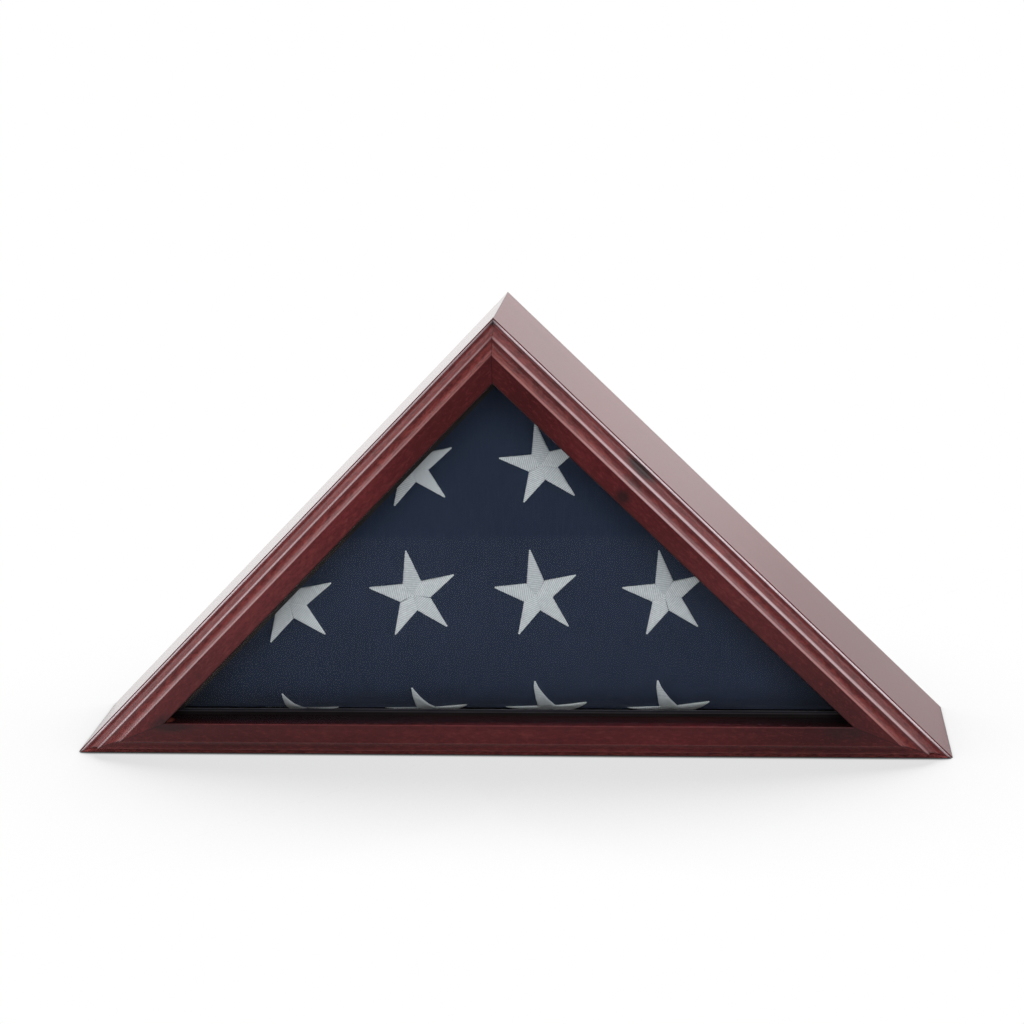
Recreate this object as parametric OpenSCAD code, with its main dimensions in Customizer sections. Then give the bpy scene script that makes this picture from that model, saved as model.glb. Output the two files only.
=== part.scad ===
// Folded flag display case: a three-sided wooden box with moulded front rails, a glass front
// and a lift-off back held by turn buttons, with a folded flag inside.
// Millimetres, +Z up, the front faces -Y. The origin is the centre of the base's footprint.

/* [Case] */
// Width of the case along its base
case_w = 648; // [480:1:760]
// Height of the case from the base to the peak
case_h = 326.6; // [240:0.1:400]
// Thickness of the three boards
board_t = 16; // [14:0.5:19]
// Depth of the boards, from the front rails to the back
board_depth = 106; // [95:1:160]
// Rounding of the boards' outer edges
edge_r = 0.3; // [0.2:0.1:0.6]

/* [Front rails] */
// Width of a rail across its face
rail_w = 30.3; // [27:0.1:45]
// Thickness of a rail at its flat face
rail_t = 19.4; // [17:0.1:26]
// Distance that the rails stand in from the boards' outer faces
rail_reveal = 0.5; // [0.1:0.1:1.2]
// Height of the square outer edge of a rail
rail_edge = 2.3; // [1.6:0.1:5]
// Distance from the outer edge to the middle arris
middle_arris_in = 7.5; // [5:0.1:10]
// Height of the middle arris above the boards
middle_arris_h = 13.6; // [8:0.1:15]
// Distance from the outer edge to the flat face
face_in = 15.4; // [12:0.1:20]
// Rounding of the arrises
arris_r = 0.9; // [0.2:0.1:1]

/* [Glass and stops] */
// Thickness of the glass
glass_t = 2; // [2:0.5:4]
// Room between the glass's edges and the boards
glass_gap = 1; // [0.5:0.1:3]
// Depth of the strips that hold the glass
stop_d = 6.5; // [5:0.5:12]
// Distance that the strips show inside the rails' inner edges
stop_proud = 4.2; // [0.5:0.1:6]
// Drop of the strips' bevel from the glass to their backs
stop_bevel = 5; // [3:0.5:6]
// Radius of the brads' shanks
brad_r = 0.6; // [0.4:0.1:1]
// Radius of the brads' heads
brad_head_r = 1.1; // [1:0.1:1.8]
// Depth of the brads in the boards
brad_in_board = 8; // [5:0.5:11]
// Distance between two brads of a strip
brad_pitch = 105; // [60:1:130]

/* [Back] */
// Thickness of the back panel
panel_t = 5; // [3:0.5:8]
// Width of the ledge that the panel sits in
rabbet_w = 6; // [4:0.5:7]
// Room between the panel's edges and the ledge
panel_gap = 0.5; // [0.3:0.1:1.5]
// Room between the panel and the ledge's shoulder
shoulder_gap = 0.3; // [0.2:0.1:1]
// Thickness of the lining on the panel
lining_t = 1; // [0.5:0.1:2]
// Distance from the lining's edges to the boards
lining_gap = 1.5; // [1:0.1:10]

/* [Turn buttons] */
// Width of a turn button
button_w = 8.6; // [6:0.1:9]
// Thickness of a turn button
button_t = 1.2; // [0.8:0.1:2]
// Distance from the pivot to the tip of a turn button
button_reach = 21; // [16:0.5:30]
// Room between a turn button and the boards
button_gap = 0.3; // [0.2:0.1:0.8]
// Height of the grip rib on a turn button
button_rib_h = 0.9; // [0.4:0.1:1.6]
// Distance along the slope from the middle of a side board to a turn button
side_button_off = 110; // [60:1:130]
// Distance from the middle of the base to a turn button
base_button_off = 150; // [80:1:190]

/* [Screws] */
// Radius of the turn buttons' screws
screw_r = 1.5; // [1:0.1:2]
// Depth of the screws in the boards
screw_in_board = 12; // [8:0.5:20]
// Radius of the screws' heads
screw_head_r = 2.9; // [2.5:0.1:4]
// Height of the screws' heads
screw_head_h = 1.8; // [1.4:0.1:3]
// Running clearance between a screw and its turn button
pivot_clearance = 0.08; // [0.02:0.01:0.1]
// Room between a screw's head and its turn button
head_gap = 0.1; // [0.05:0.05:0.5]

/* [Corner joints] */
// Length of a biscuit, along the case's depth
biscuit_l = 38; // [20:1:44]
// Width of a biscuit, across the mitre
biscuit_w = 12; // [8:0.5:12]
// Thickness of a biscuit
biscuit_t = 3; // [2:0.5:3.5]
// Distance from a biscuit's middle to the nearer edge of its board
biscuit_in = 27; // [24:1:40]
// Length of a V-nail's leg
vnail_leg = 5; // [3:0.5:7]
// Depth that a V-nail is driven into the rails
vnail_h = 10; // [6:0.5:12]
// Thickness of a V-nail's metal
vnail_t = 0.5; // [0.4:0.1:0.8]
// Distance from the outer edge to the V-nails' points
vnail_in = 17; // [15:0.5:19]

/* [Flag] */
// Thickness of the folded flag
flag_t = 66; // [40:1:72]
// Room between the flag's sloping folds and the side boards
flag_side_gap = 3.5; // [1:0.5:12]
// Room under the flag
flag_rest_gap = 0.3; // [0.1:0.1:1]
// Room between the flag and the back lining
flag_back_gap = 1.4; // [0.5:0.1:8]
// Rounding of the flag's lower fold
base_fold_r = 25; // [8:1:32]
// Rounding of the flag's sloping folds
side_fold_r = 16; // [6:1:28]
// Rounding of the flag's three points
flag_point_r = 6; // [3:0.5:12]

/* [Hidden] */

$fn = 48;
arc_steps = 4;
cove_steps = 14;
fold_steps = 10;
tiny = 0.01;
cut_over = 1;

// Where things lie along the depth
case_depth = board_depth + rail_t;
front_y = -case_depth / 2;
joint_y = front_y + rail_t;
back_y = joint_y + board_depth;
glass_back_y = joint_y + glass_t;
stop_back_y = glass_back_y + stop_d;
panel_front_y = back_y - panel_t;
lining_front_y = panel_front_y - lining_t;
shoulder_y = panel_front_y - shoulder_gap;
flag_back_y = lining_front_y - flag_back_gap;
flag_front_y = flag_back_y - flag_t;

// The case's triangle in the X-Z plane: base, right slope and left slope
slope = atan2(case_h, case_w / 2);
slope_l = norm([case_w / 2, case_h]);
corners = [[-case_w / 2, 0], [case_w / 2, 0], [0, case_h]];
incentre = [0, case_w / 2 * tan(slope / 2)];
BASE = 0;
RIGHT = 1;
LEFT = 2;
side_l = [case_w, slope_l, slope_l];
side_turn = [0, 180 - slope, 180 + slope];
corner_turn = [slope / 2, 180 - slope / 2, 270];

stop_w = rail_w - board_t + stop_proud;
stop_land = 1;
brad_top = stop_w - stop_bevel * (stop_d / 2 + brad_head_r - stop_land) / (stop_d - stop_land);
button_pivot_in = (board_t - rabbet_w) / 2;
button_y = back_y + button_gap;
screw_head_y = button_y + button_t + head_gap;
flag_far = case_w;

// Turn buttons: side, distance from the side's middle, and the way that the arm is parked
buttons = [[RIGHT, -side_button_off, 1], [RIGHT, side_button_off, 1],
    [LEFT, -side_button_off, -1], [LEFT, side_button_off, -1],
    [BASE, -base_button_off, 1], [BASE, base_button_off, -1]];

// Corners of the case's triangle moved in by one distance from the base and one from the slopes
function inset_corners(base_in, slope_in) =
    let(x = case_w / 2 - (slope_in + base_in * cos(slope)) / sin(slope))
    [[-x, base_in], [x, base_in], [0, case_h - slope_in / cos(slope)]];

// Quarter of a concave scoop that rises from [h0, u0] to [h1, u1]
function cove(h0, u0, h1, u1) =
    [for (i = [0:cove_steps]) let(a = 90 * i / cove_steps)
        [h1 - (h1 - h0) * cos(a), u0 + (u1 - u0) * sin(a)]];

// Rounded corner between a wall that rises at u and a face at height h
function round_up(h, u, r) =
    [for (i = [0:arc_steps]) let(a = 90 * i / arc_steps) [h - r + r * sin(a), u + r - r * cos(a)]];

// Rounded corner between a face at height h and a wall that drops at u
function round_down(h, u, r) =
    [for (i = [0:arc_steps]) let(a = 90 * i / arc_steps) [h - r + r * cos(a), u - r + r * sin(a)]];

// Rounded outer edge at one end of a board, which lies on the side that way points to
function outer_edge(end, way) =
    [for (i = [0:arc_steps]) let(a = 90 * (way > 0 ? arc_steps - i : i) / arc_steps)
        [end + way * edge_r * (1 - sin(a)), edge_r * (1 - cos(a))]];

// Extrudes an X-Z outline from depth y0 to depth y1
module prism_y(y0, y1) {
    translate([0, y1, 0]) rotate([90, 0, 0]) linear_extrude(y1 - y0) children();
}

// Places children drawn along X with the inside of the case above them on one side of the case
module on_side(side) {
    translate([corners[side][0], 0, corners[side][1]]) rotate([0, -side_turn[side], 0]) children();
}

// Extrudes a [depth, distance from the outer edge] outline along one side of the case
module along_side(side) {
    on_side(side) rotate([90, 0, 90]) linear_extrude(side_l[side]) children();
}

// Places children drawn along X on the line that halves one corner
module on_corner(corner) {
    translate([corners[corner][0], 0, corners[corner][1]]) rotate([0, -corner_turn[corner], 0]) children();
}

// The part of the case that belongs to one side, cut off at the mitres
module mitre_wedge(side) {
    next = (side + 1) % 3;
    prism_y(front_y - cut_over, back_y + cut_over) polygon([corners[side], corners[next], incentre]);
}

// One brad across a glass stop into its board; above its head a sinking may be left open
module brad(side, along, sinking) {
    on_side(side) translate([side_l[side] / 2 + along, glass_back_y + stop_d / 2, 0]) {
        translate([0, 0, board_t - brad_in_board]) cylinder(r = brad_r, h = brad_in_board + brad_top);
        translate([0, 0, board_t + brad_top - brad_r]) cylinder(r = brad_head_r, h = brad_r + sinking);
    }
}

module side_brads(side, sinking = 0) {
    for (k = [-1:1]) brad(side, k * brad_pitch, sinking);
}

// Lens-shaped biscuit on a corner's mitre, flat across the joint
module biscuit(corner, y) {
    sagitta = biscuit_w / 2;
    lens_r = (pow(biscuit_l / 2, 2) + pow(sagitta, 2)) / (2 * sagitta);
    mitre_middle = board_t / 2 / sin(corner == 2 ? 90 - slope : slope / 2);
    on_corner(corner) translate([mitre_middle - biscuit_t / 2, y, 0]) rotate([0, 90, 0])
        linear_extrude(biscuit_t) intersection() {
            translate([lens_r - sagitta, 0]) circle(r = lens_r, $fn = 96);
            translate([sagitta - lens_r, 0]) circle(r = lens_r, $fn = 96);
        }
}

module corner_pair(corner) {
    biscuit(corner, joint_y + biscuit_in);
    biscuit(corner, back_y - biscuit_in);
}

// V-shaped nail driven into the backs of two rails across their mitre
module v_nail(corner) {
    point_at = vnail_in / sin(corner == 2 ? 90 - slope : slope / 2);
    leg_turn = 35;
    on_corner(corner) translate([point_at, 0, 0]) prism_y(joint_y - vnail_h, joint_y) union() {
        for (way = [-1, 1]) rotate(way * leg_turn) translate([0, -vnail_t / 2]) square([vnail_leg, vnail_t]);
    }
}

module board(side) {
    difference() {
        intersection() {
            along_side(side) polygon(concat(outer_edge(joint_y, 1), outer_edge(back_y, -1),
                [[back_y, board_t - rabbet_w], [shoulder_y, board_t - rabbet_w],
                [shoulder_y, board_t], [joint_y, board_t]]));
            mitre_wedge(side);
        }
        corner_pair(side);
        corner_pair((side + 1) % 3);
        side_brads(side);
        for (b = buttons) if (b[0] == side) screw_shank(b);
    }
}

// Rail profile as [depth, distance from the outer edge]: square edge, two coves, flat face
module rail_profile() {
    outline = concat([[0, rail_reveal]],
        round_up(rail_edge, rail_reveal, arris_r),
        cove(rail_edge, rail_reveal + arris_r, middle_arris_h - arris_r, middle_arris_in),
        round_up(middle_arris_h, middle_arris_in, arris_r),
        cove(middle_arris_h, middle_arris_in + arris_r, rail_t - arris_r, face_in),
        round_up(rail_t, face_in, arris_r),
        round_down(rail_t, rail_w, arris_r),
        [[0, rail_w]]);
    polygon([for (p = outline) [joint_y - p[0], p[1]]]);
}

module rail(side) {
    difference() {
        intersection() {
            along_side(side) rail_profile();
            mitre_wedge(side);
        }
        v_nail(side);
        v_nail((side + 1) % 3);
    }
}

module glass_stop(side) {
    inner_u = board_t + stop_w;
    difference() {
        intersection() {
            along_side(side) polygon([[glass_back_y, board_t], [stop_back_y, board_t],
                [stop_back_y, inner_u - stop_bevel], [glass_back_y + stop_land, inner_u], [glass_back_y, inner_u]]);
            mitre_wedge(side);
        }
        side_brads(side, stop_bevel);
    }
}

// Places children at the pivot of one turn button, with X along the board and Z inwards
module at_button(b) {
    on_side(b[0]) translate([side_l[b[0]] / 2 + b[1], 0, button_pivot_in]) children();
}

module screw_shank(b) {
    at_button(b) translate([0, back_y - screw_in_board, 0]) rotate([-90, 0, 0])
        cylinder(r = screw_r, h = screw_in_board + screw_head_y - back_y + tiny);
}

module screw(b) {
    slot_w = 0.8;
    slot_d = screw_head_h * 0.6;
    screw_shank(b);
    at_button(b) translate([0, screw_head_y, 0]) rotate([-90, 0, 0]) difference() {
        rotate_extrude() polygon(concat([[0, 0], [screw_head_r, 0]],
            [for (i = [0:arc_steps]) let(a = 90 * i / arc_steps)
                [screw_head_r - screw_head_h / 2 * (1 - cos(a)), screw_head_h / 2 * (1 + sin(a))]],
            [[0, screw_head_h]]));
        for (turn = [0, 90]) rotate(turn) translate([0, 0, screw_head_h])
            cube([screw_head_r * 1.1, slot_w, 2 * slot_d], center = true);
    }
}

// Flat metal button with a round end at the pivot, a round tip and a rib to push
module turn_button(b) {
    tip_r = button_w / 2;
    rib_w = 1.6;
    at_button(b) rotate([0, b[2] > 0 ? 0 : 180, 0]) difference() {
        union() {
            prism_y(button_y, button_y + button_t) union() {
                circle(r = tip_r);
                translate([button_reach - tip_r, 0]) circle(r = tip_r);
                translate([0, -tip_r]) square([button_reach - tip_r, button_w]);
            }
            translate([button_reach - tip_r - rib_w / 2, button_y + button_t - tiny, -tip_r * 0.7])
                cube([rib_w, button_rib_h + tiny, button_w * 0.7]);
        }
        translate([0, button_y - cut_over, 0]) rotate([-90, 0, 0])
            cylinder(r = screw_r + pivot_clearance, h = button_t + 2 * cut_over);
    }
}

module left_side_board() { color([0.36, 0.10, 0.11]) board(LEFT); }
module right_side_board() { color([0.36, 0.10, 0.11]) board(RIGHT); }
module bottom_board() { color([0.36, 0.10, 0.11]) board(BASE); }
module left_front_rail() { color([0.40, 0.12, 0.13]) rail(LEFT); }
module right_front_rail() { color([0.40, 0.12, 0.13]) rail(RIGHT); }
module bottom_front_rail() { color([0.34, 0.10, 0.11]) rail(BASE); }
module left_glass_stop() { color([0.10, 0.08, 0.08]) glass_stop(LEFT); }
module right_glass_stop() { color([0.10, 0.08, 0.08]) glass_stop(RIGHT); }
module bottom_glass_stop() { color([0.10, 0.08, 0.08]) glass_stop(BASE); }

module corner_biscuits() {
    color([0.80, 0.66, 0.46]) for (corner = [0:2]) corner_pair(corner);
}

module frame_v_nails() {
    color([0.62, 0.63, 0.66]) for (corner = [0:2]) v_nail(corner);
}

module stop_brads() {
    color([0.70, 0.70, 0.72]) for (side = [BASE, RIGHT, LEFT]) side_brads(side);
}

module glass_pane() {
    edge_in = board_t + glass_gap;
    color([0.80, 0.88, 0.90, 0.35]) prism_y(joint_y, glass_back_y)
        polygon(inset_corners(edge_in, edge_in));
}

module back_panel() {
    edge_in = board_t - rabbet_w + panel_gap;
    color([0.16, 0.14, 0.14]) prism_y(panel_front_y, back_y) polygon(inset_corners(edge_in, edge_in));
}

module back_lining() {
    edge_in = board_t + lining_gap;
    color([0.06, 0.06, 0.07]) prism_y(lining_front_y, panel_front_y)
        polygon(inset_corners(edge_in, edge_in));
}

// Rounded edge of the folded flag along one side: the fold lies edge_in from the outer edge
module fold_prism(side, edge_in, r) {
    rolled = [for (i = [0:fold_steps]) let(a = 90 * i / fold_steps)
        [flag_front_y + r - r * cos(90 - a), edge_in + r - r * sin(90 - a)]];
    mirrored = [for (p = rolled) [flag_front_y + flag_back_y - p[0], p[1]]];
    outline = concat(rolled, [[flag_front_y, flag_far], [flag_back_y, flag_far]],
        [for (i = [fold_steps:-1:0]) mirrored[i]]);
    on_side(side) translate([-flag_far, 0, 0]) rotate([90, 0, 90])
        linear_extrude(side_l[side] + 2 * flag_far) polygon(outline);
}

module folded_flag() {
    base_in = board_t + flag_rest_gap;
    slope_in = board_t + flag_side_gap;
    color([0.13, 0.15, 0.22]) intersection() {
        prism_y(flag_front_y, flag_back_y) hull()
            for (p = inset_corners(base_in + flag_point_r, slope_in + flag_point_r))
                translate(p) circle(r = flag_point_r, $fn = 32);
        fold_prism(BASE, base_in, base_fold_r);
        fold_prism(RIGHT, slope_in, side_fold_r);
        fold_prism(LEFT, slope_in, side_fold_r);
    }
}

module metal_button(index) { color([0.78, 0.72, 0.50]) turn_button(buttons[index]); }
module turn_button_right_lower() { metal_button(0); }
module turn_button_right_upper() { metal_button(1); }
module turn_button_left_upper() { metal_button(2); }
module turn_button_left_lower() { metal_button(3); }
module turn_button_base_left() { metal_button(4); }
module turn_button_base_right() { metal_button(5); }

module turn_button_screws() {
    color([0.72, 0.72, 0.74]) for (b = buttons) screw(b);
}

left_side_board();
right_side_board();
bottom_board();
left_front_rail();
right_front_rail();
bottom_front_rail();
corner_biscuits();
frame_v_nails();
glass_pane();
left_glass_stop();
right_glass_stop();
bottom_glass_stop();
stop_brads();
folded_flag();
back_panel();
back_lining();
turn_button_right_lower();
turn_button_right_upper();
turn_button_left_upper();
turn_button_left_lower();
turn_button_base_left();
turn_button_base_right();
turn_button_screws();
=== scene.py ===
"""Looks of the folded flag display case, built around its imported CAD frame. Metres, as the frame."""

import math

import bmesh
import bpy
import numpy as np
from mathutils import Matrix, Vector
from mathutils.bvhtree import BVHTree


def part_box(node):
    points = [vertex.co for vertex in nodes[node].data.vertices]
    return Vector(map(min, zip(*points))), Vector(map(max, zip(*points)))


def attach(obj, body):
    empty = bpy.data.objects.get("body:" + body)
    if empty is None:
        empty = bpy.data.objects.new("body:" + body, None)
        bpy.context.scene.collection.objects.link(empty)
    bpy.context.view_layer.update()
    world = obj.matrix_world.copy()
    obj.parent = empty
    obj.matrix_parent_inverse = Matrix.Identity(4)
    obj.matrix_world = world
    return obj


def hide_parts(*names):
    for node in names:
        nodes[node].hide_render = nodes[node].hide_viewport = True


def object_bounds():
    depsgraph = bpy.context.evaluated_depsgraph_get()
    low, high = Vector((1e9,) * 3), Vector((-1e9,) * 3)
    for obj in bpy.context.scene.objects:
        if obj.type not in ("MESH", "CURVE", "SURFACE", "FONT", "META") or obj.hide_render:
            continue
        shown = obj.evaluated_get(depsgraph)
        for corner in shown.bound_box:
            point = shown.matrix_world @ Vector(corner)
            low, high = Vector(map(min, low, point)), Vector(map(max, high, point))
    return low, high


MM = 0.001
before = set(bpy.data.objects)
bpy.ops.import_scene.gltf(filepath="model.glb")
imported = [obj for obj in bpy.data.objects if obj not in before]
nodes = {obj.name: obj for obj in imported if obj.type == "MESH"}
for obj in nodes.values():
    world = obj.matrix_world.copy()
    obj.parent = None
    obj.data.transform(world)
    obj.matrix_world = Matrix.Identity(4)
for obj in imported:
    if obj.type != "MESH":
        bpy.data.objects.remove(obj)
cad_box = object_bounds()
rng = np.random.default_rng(7)

# ---------------------------------------------------------------- places taken from the frame
FLOOR_Z = cad_box[0].z
FLAG_LOW, FLAG_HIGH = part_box("folded_flag")
BOARD_LOW, BOARD_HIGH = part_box("bottom_board")
CASE_W = BOARD_HIGH.x - BOARD_LOW.x
CASE_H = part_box("left_side_board")[1].z
SLOPE = math.atan2(CASE_H, CASE_W / 2)
JOINT_Y = BOARD_LOW.y
BOARD_T = BOARD_HIGH.z
FRONT_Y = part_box("bottom_front_rail")[0].y
RAIL_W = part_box("bottom_front_rail")[1].z
STOP_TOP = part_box("bottom_glass_stop")[1].z

# Each side's own frame: X along its outer edge from the start, Z inwards
SIDES = ("left", "right", "bottom")
SLANT = math.hypot(CASE_W / 2, CASE_H)
SIDE_TURN = {"bottom": 0.0, "right": math.pi - SLOPE, "left": math.pi + SLOPE}
SIDE_START = {"bottom": (-CASE_W / 2, 0), "right": (CASE_W / 2, 0), "left": (0, CASE_H)}
SIDE_LENGTH = {"bottom": CASE_W, "right": SLANT, "left": SLANT}
# Half of the case's angle at a side's start and end, where its mitres run
BASE_HALF = SLOPE / 2
APEX_HALF = math.pi / 2 - SLOPE
HALF_CORNERS = {
    "bottom": (BASE_HALF, BASE_HALF),
    "right": (BASE_HALF, APEX_HALF),
    "left": (APEX_HALF, BASE_HALF),
}

# ---------------------------------------------------------------- camera
CAMERA_PLACE = (0.1730, -1.6089, 0.6175)
CAMERA_YAW = math.radians(5.98)
CAMERA_PITCH = math.radians(15.34)
CAMERA_ROLL = math.radians(-1.80)
CAMERA_LENS = 80.16


def make_camera():
    yaw, pitch, roll = CAMERA_YAW, CAMERA_PITCH, CAMERA_ROLL
    look = Vector((-math.sin(yaw) * math.cos(pitch), math.cos(yaw) * math.cos(pitch), -math.sin(pitch)))
    level = Vector((math.cos(yaw), math.sin(yaw), 0))
    rise = level.cross(look)
    right = level * math.cos(roll) + rise * math.sin(roll)
    up = rise * math.cos(roll) - level * math.sin(roll)
    camera = bpy.data.objects.new("camera", bpy.data.cameras.new("camera"))
    camera.data.lens = CAMERA_LENS
    camera.data.sensor_width = 36
    camera.matrix_world = Matrix.Translation(CAMERA_PLACE) @ Matrix((right, up, -look)).transposed().to_4x4()
    bpy.context.scene.collection.objects.link(camera)
    bpy.context.scene.camera = camera


# ---------------------------------------------------------------- material building
class Nodes:
    """A node tree, with short calls to add and join its nodes."""

    def __init__(self, tree):
        self.tree = tree

    def add(self, kind, **values):
        node = self.tree.nodes.new(kind)
        for name, value in values.items():
            setattr(node, name, value)
        return node

    def join(self, source, target):
        self.tree.links.new(source, target)

    def feed(self, source, target):
        """Gives a socket a number, a colour or another node's output."""
        if isinstance(source, (int, float)):
            target.default_value = source
        elif isinstance(source, tuple):
            target.default_value = (*source, 1)
        else:
            self.join(source, target)

    def maths(self, operation, a, b=0.0):
        n = self.add("ShaderNodeMath", operation=operation)
        self.feed(a, n.inputs[0])
        self.feed(b, n.inputs[1])
        return n.outputs[0]

    def product(self, first, *others):
        for other in others:
            first = self.maths("MULTIPLY", first, other)
        return first

    def spread(self, value, low, high, from_low=0.0, from_high=1.0):
        """Runs from low to high while the value runs over its own stretch."""
        n = self.add("ShaderNodeMapRange")
        self.feed(value, n.inputs["Value"])
        self.feed(from_low, n.inputs["From Min"])
        self.feed(from_high, n.inputs["From Max"])
        self.feed(low, n.inputs["To Min"])
        self.feed(high, n.inputs["To Max"])
        return n.outputs["Result"]

    def axes(self, vector):
        split = self.add("ShaderNodeSeparateXYZ")
        self.join(vector, split.inputs[0])
        return split.outputs["X"], split.outputs["Y"], split.outputs["Z"]


class Shader(Nodes):
    """A material's node tree, round its Principled BSDF."""

    def __init__(self, name):
        self.mat = bpy.data.materials.new(name)
        self.mat.use_nodes = True
        super().__init__(self.mat.node_tree)
        self.bsdf = self.tree.nodes["Principled BSDF"]
        self.out = self.tree.nodes["Material Output"]

    def set(self, **values):
        for name, value in values.items():
            self.bsdf.inputs[name.replace("_", " ")].default_value = value

    def drive(self, name, source):
        self.join(source, self.bsdf.inputs[name])

    def blend(self, factor, other):
        """Puts another shader in the Principled BSDF's place by a factor."""
        mixer = self.add("ShaderNodeMixShader")
        self.join(factor, mixer.inputs[0])
        self.join(self.bsdf.outputs[0], mixer.inputs[1])
        self.join(other.outputs[0], mixer.inputs[2])
        self.join(mixer.outputs[0], self.out.inputs["Surface"])

    def place(self, turn=0.0, scale=(1, 1, 1), offset=(0, 0, 0)):
        """Object coordinates turned about Y so that X runs along a side, then scaled."""
        coord = self.add("ShaderNodeTexCoord")
        turned = self.add("ShaderNodeMapping")
        turned.inputs["Rotation"].default_value = (0, turn, 0)
        turned.inputs["Location"].default_value = offset
        scaled = self.add("ShaderNodeMapping")
        scaled.inputs["Scale"].default_value = scale
        self.join(coord.outputs["Object"], turned.inputs["Vector"])
        self.join(turned.outputs["Vector"], scaled.inputs["Vector"])
        return scaled.outputs["Vector"]

    def along(self, side):
        """Object coordinates in a side's own frame: X along it, Z inwards from its outer edge."""
        turn = SIDE_TURN[side]
        x, z = SIDE_START[side]
        offset = (-x * math.cos(turn) - z * math.sin(turn), 0, x * math.sin(turn) - z * math.cos(turn))
        return self.place(turn, offset=offset)

    def dot(self, vector, direction):
        n = self.add("ShaderNodeVectorMath", operation="DOT_PRODUCT")
        self.join(vector, n.inputs[0])
        n.inputs[1].default_value = direction
        return n.outputs["Value"]

    def mitre_line(self, side, width):
        """1 on the two mitres of a side, falling to 0 a short way into the wood."""
        own = self.along(side)
        start, end = HALF_CORNERS[side]
        first = self.dot(own, (math.sin(start), 0, -math.cos(start)))
        second = self.dot(own, (-math.sin(end), 0, -math.cos(end)))
        second = self.maths("ADD", second, SIDE_LENGTH[side] * math.sin(end))
        return self.spread(self.maths("MINIMUM", first, second), 1.0, 0.0, 0.0, width)

    def noise(self, vector, scale=1.0, detail=3.0, rough=0.5, distortion=0.0):
        n = self.add("ShaderNodeTexNoise")
        self.join(vector, n.inputs["Vector"])
        n.inputs["Scale"].default_value = scale
        n.inputs["Detail"].default_value = detail
        n.inputs["Roughness"].default_value = rough
        n.inputs["Distortion"].default_value = distortion
        return n.outputs["Fac"]

    def wave(self, vector, scale, direction="X", distortion=0.0, detail=2.0):
        n = self.add("ShaderNodeTexWave", bands_direction=direction)
        self.join(vector, n.inputs["Vector"])
        n.inputs["Scale"].default_value = scale
        n.inputs["Distortion"].default_value = distortion
        n.inputs["Detail"].default_value = detail
        return n.outputs["Fac"]

    def ramp(self, value, stops):
        n = self.add("ShaderNodeValToRGB")
        while len(n.color_ramp.elements) < len(stops):
            n.color_ramp.elements.new(0.5)
        for element, (at, colour) in zip(n.color_ramp.elements, stops):
            element.position = at
            element.color = (*colour, 1)
        self.join(value, n.inputs["Fac"])
        return n.outputs["Color"]

    def levels(self, value, stops):
        """A grey ramp through [place, level] pairs."""
        return self.ramp(value, [(at, (level, level, level)) for at, level in stops])

    def mix(self, factor, a, b):
        n = self.add("ShaderNodeMix", data_type="RGBA")
        self.feed(factor, n.inputs[0])
        self.feed(a, n.inputs[6])
        self.feed(b, n.inputs[7])
        return n.outputs[2]

    def bump(self, height, distance, strength=1.0, under=None):
        n = self.add("ShaderNodeBump")
        self.join(height, n.inputs["Height"])
        n.inputs["Distance"].default_value = distance
        n.inputs["Strength"].default_value = strength
        if under is not None:
            self.join(under, n.inputs["Normal"])
        return n.outputs["Normal"]

    def spot(self, centre, radius, turn=0.0, squash=(1, 1, 1)):
        """1 at a point of the object, falling smoothly to 0 at the radius."""
        vector = self.place(turn, squash, (0, 0, 0))
        x, y, z = centre
        turned = (x * math.cos(turn) + z * math.sin(turn), y, z * math.cos(turn) - x * math.sin(turn))
        far = self.add("ShaderNodeVectorMath", operation="DISTANCE")
        self.join(vector, far.inputs[0])
        far.inputs[1].default_value = [a * s for a, s in zip(turned, squash)]
        near = self.spread(far.outputs["Value"], 1.0, 0.0, 0.0, radius)
        return self.maths("POWER", near, 1.5)


# ---------------------------------------------------------------- stained wood
# Stain as [dark, middle, light], before the tone of the piece
BOARD_STAIN = ((0.076, 0.0095, 0.0118), (0.094, 0.0115, 0.0140), (0.118, 0.0150, 0.0176))
RAIL_STAIN = ((0.052, 0.0070, 0.0090), (0.094, 0.0115, 0.0140), (0.150, 0.0210, 0.0230))
BOARD_TONE = 1.55
RAIL_TONE = 1.05
# Where in the noise each piece's grain is taken from
BOARD_SEED = {"left": 1.3, "right": 4.1, "bottom": 7.7}
RAIL_SEED = {"left": 2.2, "right": 5.6, "bottom": 8.9}
# How much warmer than the light stain the paler patches are, in each channel
WARMER = (1.1, 1.6, 1.2)
# Red of thinned stain, which is also painted light in the coves and on the bottom rail's downward outer edge
THIN_STAIN_AND_LIGHT = (0.225, 0.047, 0.043)
SMUDGE = (0.012, 0.006, 0.007)
# Colours of worn arrises, which also carry a painted highlight: pale, and red
RUBBED_PALE_AND_HIGHLIGHT = (0.64, 0.53, 0.565)
RUBBED_RED_AND_HIGHLIGHT = (0.42, 0.150, 0.130)
# Colour of the painted shade deep on the rails' inner walls
WALL_SHADE = (0.0085, 0.0048, 0.0060)
BARE_WOOD = (0.27, 0.064, 0.046)
BLACK_INSIDE = (0.0030, 0.0022, 0.0024)
MITRE_DARK = (0.012, 0.004, 0.005)

# How far the tables across a rail reach, in mm
ACROSS = 31
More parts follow.
